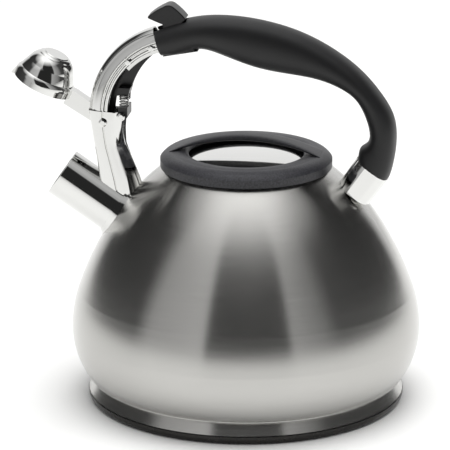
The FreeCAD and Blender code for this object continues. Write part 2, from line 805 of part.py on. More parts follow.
# ---- trigger and its pin ----
def buildTrigger():
    trigger = newBody("trigger")
    top = "(%s + trigger_height)" % triggerZ

    def head(sketch):
        outline(sketch, ("(%s - 5.6)" % triggerX, "(%s + 5.2)" % triggerZ),
                ("(%s - 4.0)" % triggerX, "(%s - 2.4)" % triggerZ),
                ("(%s + 3.2)" % triggerX, "(%s - 2.4)" % triggerZ, "4.4", 1),
                ("(%s + 5.4)" % triggerX, "(%s + 6)" % triggerZ),
                ("(%s + 8.9)" % triggerX, "(%s - 8.7)" % top),
                ("(%s + 0.6)" % triggerX, "(%s - 0.9)" % top, "36", 1),
                ("(%s - 5)" % triggerX, "(%s - 1.3)" % top, "5", 1),
                ("(%s - 14.8)" % triggerX, "(%s - 7.9)" % top, "40", 1),
                ("(%s - 14.6)" % triggerX, "(%s - 9.0)" % top, "0.8", 1),
                ("(%s - 5.6)" % triggerX, "(%s + 5.2)" % triggerZ))

    solid = plate(trigger, "trigger_half_width * 2", head)
    rim = number("trigger_half_width") - 0.01

    def topEdge(edge):
        box = edge.BoundBox
        flat = min(abs(box.YMin), abs(box.YMax)) > rim and box.YLength < 0.01
        return flat and box.ZMin > number(triggerZ) + 6.5

    rounded(trigger, solid, topEdge, "0.7")

    def crank(sketch):
        end = archPoint("trigger_pivot_radius - trigger_throw", "trigger_pivot_angle + link_half_swing")
        outline(sketch, ("%s - 2.4" % triggerX, triggerZ), ("%s - 2.3" % end[0], end[1]),
                ("%s + 2.3" % end[0], end[1], "2.35", 1), ("%s + 2.6" % triggerX, triggerZ),
                ("%s - 2.4" % triggerX, triggerZ))

    plate(trigger, "trigger_web * 2", crank)
    plate(trigger, "40", lambda s: ring(s, triggerX, triggerZ, "trigger_pin + pin_gap"), cut=True)
    end = archPoint("trigger_pivot_radius - trigger_throw", "trigger_pivot_angle + link_half_swing")
    plate(trigger, "40", lambda s: ring(s, end[0], end[1], "crank_pin + crank_gap"), cut=True)
    axle = pin("trigger_pin", triggerX, triggerZ, "trigger_pin", "-bay_half_width", "bay_half_width")
    return [trigger, axle]


subParts += buildTrigger()


# ---- draw link: slides round the arch from trigger to arm ----
def buildLink():
    link = newBody("draw_link")
    armAngle = "(185.95 + link_half_swing)"
    pinAngle = "(trigger_pivot_angle + link_half_swing)"

    def strip(sketch):
        low = archPoint("link_high", "%s + 3.4" % armAngle)
        lowIn = archPoint("43.2", "%s + 3.4" % armAngle)
        high = archPoint("43.2", "%s - 2.6" % pinAngle)
        highOut = archPoint("link_high - 2", "%s - 2.6" % pinAngle)
        shoulder = archPoint("link_high - 2", "%s + 12" % pinAngle)
        shoulderOut = archPoint("link_high", "%s + 18" % pinAngle)
        outline(sketch, low, lowIn, (high[0], high[1], "43.2", -1), highOut,
                (shoulder[0], shoulder[1], "link_high - 2", 1), shoulderOut,
                (low[0], low[1], "link_high", 1))

    def web(sketch):
        """Broad black web that shows below the bracket, narrow towards the handle."""
        low = archPoint("link_body_top", "167")
        high = archPoint("link_body_top", "112")
        inHigh = archPoint("link_body_top - 1.6", "112")
        inLow = archPoint("link_low", "164")
        outline(sketch, low, (inLow[0], "%s - 1.4" % springTop), ("%s + 0.5" % inLow[0], springTop),
                (inHigh[0], inHigh[1], "48", -1), high, (low[0], low[1], "link_body_top", 1))

    def ear(sketch):
        outline(sketch, ("%s - 4.4" % seatX, springTop), ("%s + 3.3" % seatX, springTop),
                ("%s + 4.4" % seatX, "%s + 4" % springTop), ("%s - 3" % seatX, "%s + 4" % springTop),
                ("%s - 4.4" % seatX, springTop))

    def tail(sketch):
        """Tongue of the web that hangs behind the spring, clear of its seat when the link is down."""
        outline(sketch, ("%s - 3.6" % seatX, "%s + tail_gap" % seatTop), ("%s + 3.0" % seatX, "%s + tail_gap" % seatTop),
                ("%s + 3.3" % seatX, "%s + 1" % springTop), ("%s - 3.6" % seatX, "%s + 1" % springTop),
                ("%s - 3.6" % seatX, "%s + tail_gap" % seatTop))

    side = "link_side - link_wall"
    plate(link, "link_wall", strip, offset="-link_side")
    plate(link, "%s + 0.2" % side, web, offset="-(%s) - 0.2" % side)
    plate(link, "%s + 0.4 + spring_side + spring_radius" % side, ear, offset="-(%s) - 0.2" % side)
    plate(link, "tail_wall", tail, offset="-tail_wall")
    near = "45.3"
    far = "48.2"

    def crankSlot(sketch):
        """Slot along the arch's radius that the arm's crank pin slides in."""
        half = "(crank_pin + crank_gap) / 46.5 * 180 / pi"
        corners = [archPoint(radius, "%s %s %s" % (armAngle, sign, half))
                   for radius, sign in ((near, "-"), (far, "-"), (far, "+"), (near, "+"))]
        outline(sketch, *corners, corners[0])

    plate(link, "40", crankSlot, cut=True)
    pinX, pinZ = archPoint("trigger_pivot_radius - trigger_throw", pinAngle)
    linkPin = pin("link_pin", pinX, pinZ, "crank_pin", "-trigger_web", "link_side")
    return [cutBy("draw_link", link, linkPin), linkPin]


subParts += buildLink()


# ---- whistle arm and cap, drawn about the spout's axis ----
def buildArm():
    arm = newBody("whistle_arm")

    def side(sketch):
        low = "(-arm_drop - arm_boss)"
        outline(sketch, ("arm_root", "-arm_drop - 1.6"), ("arm_reach - 6", "%s + 0.5" % low),
                ("arm_reach", low), ("arm_reach", "-arm_drop + arm_boss", "arm_boss + 0.001", 1),
                ("arm_reach - 7", "arm_depth - arm_drop - 2.6"), ("cap_radius + 1.5", "arm_depth - arm_drop"),
                ("arm_root", "arm_depth - arm_drop"), ("arm_root", "-arm_drop - 1.6"))

    plate(arm, "arm_half_width * 2", side)
    plate(arm, "40", lambda s: ring(s, "arm_reach", "-arm_drop", "pivot_pin + pin_gap"), cut=True)
    framePlace(arm, openLean)
    return cutBy("whistle_arm", arm, crankPin)


def capProfile(inset):
    """Outer side of the bell from its rim up to its flat top."""
    return [
        ("cap_radius - %s" % inset, "3.2"),
        ("cap_radius - 1.8 - %s" % inset, "6.8", "6", 1),
        ("cap_radius - 4.4 - %s" % inset, "cap_height - 8.4", "30", 1),
        ("cap_disc + 3.0 - %s" % inset, "cap_height - 2.2 - %s * 0.6" % inset, "13", 1),
    ]


def buildCap():
    bell = newBody("whistle_cap")
    turned(bell, ("0", "-0.6"), ("cap_radius", "-0.6"),
           *capProfile("0"), ("cap_disc + 0.5", "cap_height - 0.5", "4", 1),
           ("cap_disc", "cap_height"), ("0", "cap_height"))

    def beak(sketch):
        outline(sketch, ("-cap_radius + 2", "4"), ("-cap_radius + 0.1", "4"), ("-cap_radius - 1.5", "-1.4"),
                ("-cap_radius - 0.4", "-1.6"), ("-cap_radius + 2", "-0.6"), ("-cap_radius + 2", "4"))

    plate(bell, "9", beak)
    turned(bell, ("0", "-3"), ("cap_radius - cap_wall", "-3"),
           *capProfile("cap_wall"), ("cap_disc", "cap_height - cap_wall * 1.6"),
           ("0", "cap_height - cap_wall * 1.6"), cut=True)

    def notch(sketch):
        outline(sketch, ("arm_root", "-3"), ("cap_radius + 3", "-3"), ("cap_radius + 3", "arm_depth - arm_drop"),
                ("arm_root", "arm_depth - arm_drop"), ("arm_root", "-3"))

    plate(bell, "arm_half_width * 2", notch, cut=True)
    framePlace(bell, openLean)

    seal = newBody("cap_seal")
    turned(seal, ("seal_bore", "seal_gap"), ("seal_radius - 0.4", "seal_gap"),
           ("seal_radius", "seal_gap + 0.4", "0.4", 1), ("seal_radius", "seal_gap + seal_depth"),
           ("seal_bore", "seal_gap + seal_depth"))
    framePlace(seal, openLean)

    floor = "(seal_gap + seal_depth)"
    holder = newBody("whistle_holder")
    turned(holder, ("whistle_hole", floor), ("seal_radius", floor), ("seal_radius", "%s + holder_wall" % floor),
           ("whistle_radius", "%s + holder_wall" % floor), ("whistle_radius", "%s + whistle_height" % floor),
           ("whistle_radius - holder_wall", "%s + whistle_height" % floor),
           ("whistle_radius - holder_wall", "%s + holder_wall" % floor), ("whistle_hole", "%s + holder_wall" % floor))
    framePlace(holder, openLean)

    disc = newBody("whistle_disc")
    top = "(%s + whistle_height)" % floor
    turned(disc, ("whistle_hole", top), ("whistle_radius", top), ("whistle_radius", "%s + holder_wall" % top),
           ("whistle_hole", "%s + holder_wall" % top))
    framePlace(disc, openLean)

    stays = newBody("whistle_stay")
    turned(stays, ("whistle_hole + 1.4", "%s + holder_wall" % top), ("whistle_hole + 2.4", "%s + holder_wall" % top),
           ("whistle_hole + 2.4", "cap_height - cap_wall * 1.6"), ("whistle_hole + 1.4", "cap_height - cap_wall * 1.6"))

    def window(sketch):
        outline(sketch, ("-20", "%s + 2" % top), ("20", "%s + 2" % top), ("20", "cap_height - 4"),
                ("-20", "cap_height - 4"), ("-20", "%s + 2" % top))

    plate(stays, "5", window, cut=True)
    framePlace(stays, openLean)
    return [bell, seal, holder, disc, stays]


subParts.append(buildArm())
subParts += buildCap()


# ---- lid ----
def buildLid():
    rest = "(%s + lid_rest)" % lipTop
    seat = "(%s + gasket_height)" % rest
    skirt = "(%s - lid_gap)" % mouthRadius
    pan = newBody("lid_pan")
    domeRadius = "((ring_inner + 3) ^ 2 + dome_rise ^ 2) / (2 * dome_rise)"
    turned(pan, ("0", "%s + dome_rise" % seat), ("ring_inner + 3", seat, domeRadius, -1),
           (skirt, seat), (skirt, "%s - skirt_depth" % seat),
           ("%s - lid_wall" % skirt, "%s - skirt_depth" % seat), ("%s - lid_wall" % skirt, "%s - lid_wall" % seat),
           ("ring_inner + 3", "%s - lid_wall" % seat),
           ("0", "%s + dome_rise - lid_wall" % seat, domeRadius, 1))

    gasket = newBody("lid_gasket")
    turned(gasket, (skirt, rest), ("%s + shell_wall + 0.6" % mouthRadius, rest),
           ("%s + shell_wall + 0.6" % mouthRadius, seat), (skirt, seat))

    ringBody = newBody("lid_ring")
    bottom = "(%s - ring_drop)" % rest
    crest = "(%s + ring_rise)" % seat
    turned(ringBody, ("ring_inner + 4", seat), ("%s + shell_wall + 0.6" % mouthRadius, seat),
           ("%s + shell_wall + 0.6" % mouthRadius, bottom), ("ring_outer - 0.6", bottom),
           ("ring_outer", "%s + 0.6" % bottom, "0.6", 1), ("ring_outer", "%s + 0.8" % seat),
           ("ring_outer - 8.5", "%s - 0.8" % crest, "10.5", 1), ("ring_inner + 3", "%s - 0.9" % crest, "14", 1),
           ("ring_inner", "%s - 2.6" % crest, "3.2", 1), ("ring_inner + 0.6", "%s + 2.4" % seat))

    grip = newBody("lid_grip")

    def arch(sketch):
        low = "(%s - 0.9)" % crest
        outline(sketch, ("-grip_half_length - 4.5", low), ("-grip_half_length + 1", low),
                ("-grip_half_length + 12", "%s + 2.8" % low, "30", -1),
                ("grip_half_length - 12", "%s + 2.8" % low, "104", -1),
                ("grip_half_length - 1", low, "30", -1), ("grip_half_length + 4.5", low),
                ("grip_half_length - 12", "%s + 7.0" % low, "34", 1),
                ("-grip_half_length + 12", "%s + 7.0" % low, "104", 1),
                ("-grip_half_length - 4.5", low, "34", 1))

    plate(grip, "grip_half_width * 2", arch)
    gripPiece = cutBy("lid_grip", grip, ringBody)
    screws = []
    for turn in (-1, 1):
        screw = newBody("lid_screw_%d" % turn)
        under = "(%s - lid_wall)" % seat
        turned(screw, ("0", "-1.8"), ("screw_head", "-1.8"), ("screw_head", "0"), ("screw_radius", "0"),
               ("screw_radius", "4.3"), ("0", "4.8"))
        place(screw, "%d * (ring_inner + 8)" % turn, "0", under)
        screws.append(screw)
    group = grouped("lid_screws", *screws)
    panPiece = cutBy("lid_pan", pan, *screws)
    ringPiece = cutBy("lid_ring", ringBody, *screws)
    return [panPiece, gasket, ringPiece, gripPiece, group]


subParts += buildLid()

os.makedirs("parts", exist_ok=True)


def check():
    faults = []
    for item in doc.Objects:
        if "Invalid" in item.State or "Error" in item.State:
            faults.append("%s %s" % (item.Name, item.Label))
    for item in subParts:
        if item.Shape.isNull() or not item.Shape.isValid():
            faults.append("shape of %s" % item.Label)
    if faults:
        raise RuntimeError("failed: " + ", ".join(faults))


doc.recompute()
check()
for item in subParts:
    item.Shape.exportStep("parts/%s.step" % item.Label)
    print(item.Label, round(item.Shape.Volume), item.Shape.BoundBox, len(item.Shape.Solids))
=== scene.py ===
import bmesh
import bpy
import json
import math
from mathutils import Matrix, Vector


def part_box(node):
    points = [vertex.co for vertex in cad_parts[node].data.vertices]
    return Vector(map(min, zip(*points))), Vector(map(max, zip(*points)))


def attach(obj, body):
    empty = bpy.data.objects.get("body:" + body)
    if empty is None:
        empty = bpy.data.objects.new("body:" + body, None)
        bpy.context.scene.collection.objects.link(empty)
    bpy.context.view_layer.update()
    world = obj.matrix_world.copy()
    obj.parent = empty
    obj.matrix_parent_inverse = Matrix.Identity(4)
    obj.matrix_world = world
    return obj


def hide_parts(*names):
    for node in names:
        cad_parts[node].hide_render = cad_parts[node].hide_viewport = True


# Whistling kettle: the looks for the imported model. Units are metres, the spout points to -X.
# The bracket and the spout are given in millimetres, and toMetres scales their points.
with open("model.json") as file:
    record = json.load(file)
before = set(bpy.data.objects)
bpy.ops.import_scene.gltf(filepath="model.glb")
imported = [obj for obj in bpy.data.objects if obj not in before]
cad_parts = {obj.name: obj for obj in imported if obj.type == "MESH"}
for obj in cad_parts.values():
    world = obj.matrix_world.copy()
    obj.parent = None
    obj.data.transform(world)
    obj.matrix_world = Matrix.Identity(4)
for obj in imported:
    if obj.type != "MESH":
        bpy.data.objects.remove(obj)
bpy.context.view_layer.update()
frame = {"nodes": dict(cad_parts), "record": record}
nodes = frame["nodes"]
print("frame loaded:", len(nodes), "nodes")


def toMetres(x, y, z):
    return (x / 1000, y / 1000, z / 1000)


def grey(level):
    return (level, level, level, 1)


def linearColour(hexText):
    # sRGB hex to linear, with the constants of the sRGB curve
    channels = []
    for start in (1, 3, 5):
        value = int(hexText[start:start + 2], 16) / 255
        channels.append(value / 12.92 if value <= 0.04045 else ((value + 0.055) / 1.055) ** 2.4)
    return (*channels, 1.0)


def socketKey(name):
    # in3 is the fourth input; any other name is the socket's own, with _ for a space
    return int(name[2:]) if name.startswith("in") and name[2:].isdigit() else name.replace("_", " ")


def addNode(tree, kind, settings=None, **links):
    # settings are node properties or socket values, links are the outputs joined to its inputs
    node = tree.nodes.new(kind)
    for name, value in (settings or {}).items():
        if hasattr(node, name):
            setattr(node, name, value)
        else:
            node.inputs[socketKey(name)].default_value = value
    joinTo(tree, node, **links)
    return node


def joinTo(tree, node, **links):
    for name, source in links.items():
        tree.links.new(source, node.inputs[socketKey(name)])


def newMaterial(name, **sockets):
    # a Principled surface whose even values sit on the shader's own sockets
    material = bpy.data.materials.new(name)
    material.use_nodes = True
    shader = material.node_tree.nodes["Principled BSDF"]
    for socketName, value in sockets.items():
        shader.inputs[socketKey(socketName)].default_value = value
    return material, material.node_tree, shader


def ramp(tree, source, stops):
    node = addNode(tree, "ShaderNodeValToRGB", Fac=source)
    while len(node.color_ramp.elements) < len(stops):
        node.color_ramp.elements.new(0.5)
    for element, (place, level) in zip(node.color_ramp.elements, stops):
        element.position = place
        element.color = grey(level)
    return node


# Stainless steel brushed in circles on a lathe: fine level lines draw every reflection out up and
# down, and leave the steel a little darker than the polished pieces. The real lines are about
# 0.1 mm apart, too fine to show, so they are drawn 0.35 mm apart. Handling leaves 60 mm smudges.
brushedLook = {"darkLine": "#b3b2af", "lightLine": "#c6c5c2", "lineSpacing": 0.00035, "lineDrift": 2.2,
               "lineDepth": 0.05, "lineHeight": 0.0002, "roughness": 0.17, "smoother": 0.04, "duller": 0.07,
               "smudgeSize": 0.06, "smudgeDulling": 0.05, "stretch": 0.9, "stretchTurn": 0.25}


def brushedStainless():
    look = brushedLook
    material, tree, shader = newMaterial("brushedStainless", Metallic=1.0, Anisotropic=look["stretch"],
                                         Anisotropic_Rotation=look["stretchTurn"])
    place = addNode(tree, "ShaderNodeTexCoord").outputs["Object"]
    split = addNode(tree, "ShaderNodeSeparateXYZ", Vector=place)
    turn = addNode(tree, "ShaderNodeMath", {"operation": "ARCTAN2"}, in0=split.outputs[1], in1=split.outputs[0])
    level = addNode(tree, "ShaderNodeMath", {"operation": "MULTIPLY", "in1": 1 / look["lineSpacing"]},
                    in0=split.outputs[2])
    slow = addNode(tree, "ShaderNodeMath", {"operation": "MULTIPLY", "in1": look["lineDrift"]},
                   in0=turn.outputs[0])
    lineSpace = addNode(tree, "ShaderNodeCombineXYZ", in0=slow.outputs[0], in2=level.outputs[0])
    lines = addNode(tree, "ShaderNodeTexNoise", {"Scale": 1.0, "Detail": 4.0, "Roughness": 0.6},
                    Vector=lineSpace.outputs[0])
    smudge = addNode(tree, "ShaderNodeTexNoise", {"Scale": 1 / look["smudgeSize"], "Detail": 3.0}, Vector=place)
    lineRough = addNode(tree, "ShaderNodeMapRange", {"in3": look["roughness"] - look["smoother"],
                                                     "in4": look["roughness"] + look["duller"]},
                        in0=lines.outputs[0])
    rough = addNode(tree, "ShaderNodeMath", {"operation": "MULTIPLY_ADD", "in1": look["smudgeDulling"]},
                    in0=smudge.outputs[0], in2=lineRough.outputs[0])
    tint = addNode(tree, "ShaderNodeMix", {"data_type": "RGBA", "in6": linearColour(look["darkLine"]),
                                           "in7": linearColour(look["lightLine"])}, in0=lines.outputs[0])
    tangent = addNode(tree, "ShaderNodeTangent", {"direction_type": "RADIAL", "axis": "Z"})
    bump = addNode(tree, "ShaderNodeBump", {"Strength": look["lineDepth"], "Distance": look["lineHeight"]},
                   Height=lines.outputs[0])
    joinTo(tree, shader, Roughness=rough.outputs[0], Base_Color=tint.outputs[2],
           Tangent=tangent.outputs[0], Normal=bump.outputs[0])
    return material


# Even metal with a faint wiping haze in patches of about 7 mm: 140 to the metre.
metalLook = {"hazeSpots": 140.0, "clearest": 0.7, "haziest": 1.5}


def evenMetal(name, colour, roughness):
    material, tree, shader = newMaterial(name, Metallic=1.0, Base_Color=linearColour(colour))
    place = addNode(tree, "ShaderNodeTexCoord").outputs["Object"]
    haze = addNode(tree, "ShaderNodeTexNoise", {"Scale": metalLook["hazeSpots"], "Detail": 4.0}, Vector=place)
    rough = addNode(tree, "ShaderNodeMapRange", {"in3": roughness * metalLook["clearest"],
                                                 "in4": roughness * metalLook["haziest"]},
                    in0=haze.outputs[0])
    joinTo(tree, shader, Roughness=rough.outputs[0])
    return material


# Moulded plastic: a slight mottling in patches of about 22 mm, 45 to the metre, and the grain that
# the mould leaves. Real grain is 0.1 to 0.2 mm, too fine to show, so each one is drawn coarser.
plasticLook = {"mottleSpots": 45.0, "smoother": 0.06, "duller": 0.08, "darkUnder": 0.35, "lightOver": 0.75,
               "grainHeight": 0.0003}


def mouldedPlastic(name, colour, lighter, roughness, grainSize, grainDepth, sheen=0.0):
    look = plasticLook
    material, tree, shader = newMaterial(name, IOR=1.5, Sheen_Weight=sheen)
    place = addNode(tree, "ShaderNodeTexCoord").outputs["Object"]
    grain = addNode(tree, "ShaderNodeTexNoise", {"Scale": 1 / grainSize, "Detail": 3.0, "Roughness": 0.65},
                    Vector=place)
    mottle = addNode(tree, "ShaderNodeTexNoise", {"Scale": look["mottleSpots"], "Detail": 2.0}, Vector=place)
    blend = addNode(tree, "ShaderNodeMapRange", {"in1": look["darkUnder"], "in2": look["lightOver"]},
                    in0=grain.outputs[0])
    tint = addNode(tree, "ShaderNodeMix", {"data_type": "RGBA", "in6": linearColour(colour),
                                           "in7": linearColour(lighter)}, in0=blend.outputs[0])
    rough = addNode(tree, "ShaderNodeMapRange", {"in3": roughness - look["smoother"],
                                                 "in4": roughness + look["duller"]}, in0=mottle.outputs[0])
    bump = addNode(tree, "ShaderNodeBump", {"Strength": grainDepth, "Distance": look["grainHeight"]},
                   Height=grain.outputs[0])
    joinTo(tree, shader, Base_Color=tint.outputs[2], Roughness=rough.outputs[0], Normal=bump.outputs[0])
    return material


# one finish for each of the record's material slots
finishes = {
    "brushed_body": brushedStainless(),
    # stainless steel buffed to a mirror: hard black and white reflections
    "polished": evenMetal("polishedStainless", "#dcdcda", 0.06),
    # stainless steel pressed and left satin on the base dish; its colour is painted shade, near black for the
    # shade under the belly, with a thin soft highlight
    "base_steel": evenMetal("satinStainlessBasePaintedShade", "#3b3a39", 0.24),
    # aluminium disc as cut: pale, with a dull even shine
    "aluminium": evenMetal("rawAluminium", "#b9bbbd", 0.35),
    # soft-touch lacquer over nylon: no sharp highlight, a wide grey bloom along the top
    "soft_grip": mouldedPlastic("softTouchNylon", "#070708", "#0e0e10", 0.48, 0.0009, 0.12, 0.05),
    # glass-filled nylon from an eroded mould: dark grey with a fine light speckle
    "lid_nylon": mouldedPlastic("erodedNylonLid", "#1e1e21", "#3b3b40", 0.44, 0.0011, 0.3),
    # nylon from a lightly polished mould: deeper black with a soft sheen
    "nylon": mouldedPlastic("blackNylon", "#0b0b0c", "#141415", 0.34, 0.0007, 0.08),
    # silicone rubber seals: dark, smooth and slightly waxy
    "silicone": mouldedPlastic("siliconeSeal", "#2a2a2b", "#333334", 0.5, 0.002, 0.05),
}
print("finishes made:", len(finishes))

for entry in frame["record"]["subparts"]:
    nodeMesh = nodes[entry["node"]].data
    nodeMesh.materials.clear()
    nodeMesh.materials.append(finishes[entry["material_slot"]])


def addToScene(name, data):
    item = bpy.data.objects.new(name, data)
    bpy.context.scene.collection.objects.link(item)
    return item


def meshFrom(name, build):
    mesh = bpy.data.meshes.new(name)
    build.to_mesh(mesh)
    build.free()
    return mesh


def sweptMesh(name, loops):
    # joins closed loops of equal length into one closed skin with flat ends
    count = len(loops[0])
    last = (len(loops) - 1) * count
    faces = [tuple(reversed(range(count)))]
    for row in range(0, last, count):
        for step in range(count):
            following = (step + 1) % count
            faces.append((row + step, row + following, row + count + following, row + count + step))
    faces.append(tuple(last + step for step in range(count)))
    skin = bpy.data.meshes.new(name)
    skin.from_pydata([point for loop in loops for point in loop], [], faces)
    build = bmesh.new()
    build.from_mesh(skin)
    bmesh.ops.recalc_face_normals(build, faces=build.faces)
    build.to_mesh(skin)
    build.free()
    return addToScene(name, skin)


def cutAway(item, tools):
    # takes the tools' shapes out of the item and removes the tools
    for tool in tools:
        cut = item.modifiers.new("cut", "BOOLEAN")
        cut.operation = "DIFFERENCE"
        cut.solver = "EXACT"
        cut.object = tool
    graph = bpy.context.evaluated_depsgraph_get()
    mesh = bpy.data.meshes.new_from_object(item.evaluated_get(graph))
    item.modifiers.clear()
    item.data = mesh
    for tool in tools:
        bpy.data.objects.remove(tool)


def blockTool(low, high):
    around = [(low[0], low[1]), (high[0], low[1]), (high[0], high[1]), (low[0], high[1])]
    return sweptMesh("blockTool", [[toMetres(x, y, z) for x, y in around] for z in (low[2], high[2])])


def softShade(item):
    sharpFrom = 32  # degrees between faces that still look like one surface
    for face in item.data.polygons:
        face.use_smooth = True
    item.data.set_sharp_from_angle(angle=math.radians(sharpFrom))


# Front bracket: a pressed steel arch with two beads along each side, and a leg that is rounded over
# on the lid's side. The slot lets the arm through (mm; bodyOverlap is in metres).
bracket = {"archX": -40.6, "archZ": 181.52, "outerRadius": 58.6, "topAngle": 107.5, "creaseAngle": 177.0,
           "halfWidth": 9.6, "innerHalf": 7.7, "depth": 13.1, "wall": 1.9, "grooveDepth": 1.7,
           "beadEdge": 0.25, "archSteps": 48, "legInset": 0.35, "legWall": 1.5, "legSteps": 44,
           "facetShare": 0.38, "bendStart": 1.0, "bendInset": 0.5, "bendSteps": 16, "ridgeSteps": (5, 6),
           "ridgeHeight": 0.45, "leastOuter": 0.02, "leastInner": 0.01, "pivotZ": 176.52,
           "slotOuter": -106, "slotInner": -91.5, "slotHalf": 4.8, "slotReach": 19, "bodyOverlap": 0.0003}
# outer and lid-side edge of the leg going down, and how far the lid side is rounded over
legEdges = [(0.0, (-99.1, 184.4, -75.4, 182.6, 0.18)), (0.07, (-98.5, 180.2, -77.0, 178.6, 0.2)),
            (0.2, (-97.2, 171.5, -77.4, 170.5, 0.35)), (0.35, (-95.7, 162.0, -76.4, 162.0, 0.8)),
            (0.5, (-94.1, 152.0, -72.8, 153.0, 1.0)), (0.7, (-92.4, 140.0, -67.8, 141.0, 1.0)),
            (0.85, (-90.9, 129.0, -64.6, 130.5, 1.0)), (1.0, (-89.3, 118.0, -62.3, 118.5, 1.0))]
# The spout's line in mm. The leg ends at cutRadius, inside the wall of the spout.
spout = {"lean": 56, "mouth": (-117.43, 0, 141.2), "cutRadius": 15.3, "cutEnds": (-90, 5), "cutPoints": 64,
         "skinRadius": 15.35}


def alongEdges(points, share):
    # values at a share of the way along a list of (place, values) pairs
    for (start, first), (end, second) in zip(points, points[1:]):
        if share <= end:
            part = (share - start) / (end - start)
            return [a + (b - a) * part for a, b in zip(first, second)]
    return points[-1][1]


def mirroredLoop(outerSide, innerSide):
    # closed section from the points of one half: outside, then back along the inside
    onCentre = 0.001
    half = outerSide + innerSide
    return half + [(u, -y) for u, y in reversed(half) if y > onCentre]


def archSection():
    # pairs of depth below the outer face and half width there
    wide = bracket["halfWidth"]
    edge = wide - bracket["beadEdge"]
    groove = wide - bracket["grooveDepth"]
    depth, wall, inner = bracket["depth"], bracket["wall"], bracket["innerHalf"]
    crown = [(0, 0), (0.05, 2.0), (0.25, 3.2), (0.7, 4.4), (1.4, 5.5), (2.3, 6.5), (3.4, 7.4), (4.6, 8.1),
             (5.8, 8.65), (6.9, 9.0), (7.7, 9.2)]
    beads = [(8.0, wide - 0.15), (8.35, groove), (8.75, groove), (9.1, edge), (9.4, wide), (10.0, wide),
             (10.3, edge), (10.65, groove), (11.05, groove), (11.4, edge), (11.7, wide),
             (12.5, wide - 0.1), (12.9, wide - 0.5), (depth, wide - 1.0)]
    inside = [(depth, 7.9), (12.8, inner), (3.6, inner), (2.6, 7.2), (2.0, 6.2), (wall, 4.0), (wall, 0)]
    return mirroredLoop(crown + beads, inside)


def makeArch():
    section = archSection()
    loops = []
    for step in range(bracket["archSteps"] + 1):
        share = step / bracket["archSteps"]
        angle = math.radians(bracket["topAngle"] + (bracket["creaseAngle"] - bracket["topAngle"]) * share)
        loops.append([toMetres(bracket["archX"] + (bracket["outerRadius"] - u) * math.cos(angle), y,
                               bracket["archZ"] + (bracket["outerRadius"] - u) * math.sin(angle))
                      for u, y in section])
    return sweptMesh("archShell", loops)


def legSection(width, roundOver):
    # outer face, flat facet and a small step, then the side that turns in towards the lid
    wide = bracket["halfWidth"] - bracket["legInset"]
    wall, steps, bend = bracket["legWall"], bracket["bendSteps"], bracket["bendStart"]
    facet = bracket["facetShare"] * width
    side = [(0, 0), (0, 3.6), (0.25, 6.2), (0.8, 8.0), (1.6, 8.95), (2.6, wide), (facet, wide),
            (facet + 0.25, wide - 0.9), (facet + 0.7, wide - 1.0)]
    turned = []
    for step in range(steps + 1):
        turn = math.radians(90 * step / steps)
        lift = bracket["ridgeHeight"] if step in bracket["ridgeSteps"] else 0
        u = facet + bend + (width - facet - bend) * math.sin(turn)
        y = (wide - bracket["bendInset"]) * (1 - roundOver * (1 - math.cos(turn))) + lift
        turned.append((u, max(y, bracket["leastOuter"])))
    inside = [(u - wall * (step / steps), max(y - wall, bracket["leastInner"]))
              for step, (u, y) in enumerate(turned)]
    inside.reverse()
    inside += [(facet, wide - wall), (2.6, wide - wall), (bracket["wall"], 6.0), (bracket["wall"], 0)]
    return mirroredLoop(side + turned, inside)


def makeLeg():
    loops = []
    for step in range(bracket["legSteps"] + 1):
        outX, outZ, inX, inZ, roundOver = alongEdges(legEdges, step / bracket["legSteps"])
        width = math.hypot(inX - outX, inZ - outZ)
        loops.append([toMetres(outX + (inX - outX) * u / width, y, outZ + (inZ - outZ) * u / width)
                      for u, y in legSection(width, roundOver)])
    return sweptMesh("legShell", loops)


def bodyTool():
    # solid skin round the body, pulled in a little so that the leg's foot sinks into its wall
    hull = bmesh.new()
    for vert in nodes["body_shell"].data.vertices:
        hull.verts.new(vert.co)
    bmesh.ops.convex_hull(hull, input=hull.verts)
    bmesh.ops.delete(hull, geom=[vert for vert in hull.verts if not vert.link_faces], context="VERTS")
    bmesh.ops.recalc_face_normals(hull, faces=hull.faces)
    for vert in hull.verts:
        reach = math.hypot(vert.co.x, vert.co.y)
        if reach > 0:
            vert.co.x *= 1 - bracket["bodyOverlap"] / reach
            vert.co.y *= 1 - bracket["bodyOverlap"] / reach
    return addToScene("bodyTool", meshFrom("bodyTool", hull))


def makeFrontBracket():
    slotLow = (bracket["slotOuter"], -bracket["slotHalf"], bracket["pivotZ"] - bracket["slotReach"])
    slotHigh = (bracket["slotInner"], bracket["slotHalf"], bracket["pivotZ"] + bracket["slotReach"])
    lean = math.radians(spout["lean"])
    axis = Vector((-math.sin(lean), 0, math.cos(lean)))
    mouth = Vector(spout["mouth"])
    sideways = Vector((0, 1, 0))
    across = axis.cross(sideways)
    radius, count = spout["cutRadius"], spout["cutPoints"]
    rings = [[tuple((mouth + axis * distance + sideways * math.cos(turn) * radius
                     + across * math.sin(turn) * radius) / 1000)
              for turn in (2 * math.pi * step / count for step in range(count))]
             for distance in spout["cutEnds"]]
    arch = makeArch()
    cutAway(arch, [blockTool(slotLow, slotHigh)])
    leg = makeLeg()
    cutAway(leg, [blockTool(slotLow, slotHigh), sweptMesh("spoutTool", rings), bodyTool()])
    # the cut leaves the spout tool's own skin, which would show beyond the leg
    trim = bmesh.new()
    trim.from_mesh(leg.data)
    onSpout = [face for face in trim.faces
               if all((vert.co * 1000 - mouth).cross(axis).length < spout["skinRadius"] for vert in face.verts)]
    bmesh.ops.delete(trim, geom=onSpout, context="FACES")
    trim.to_mesh(leg.data)
    trim.free()
    whole = bmesh.new()
    for item in (arch, leg):
        whole.from_mesh(item.data)
        bpy.data.objects.remove(item)
    piece = addToScene("frontBracket", meshFrom("frontBracket", whole))
    softShade(piece)
    piece.data.materials.append(finishes["polished"])
    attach(piece, "kettle")
    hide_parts("front_bracket")


makeFrontBracket()
print("front bracket made")

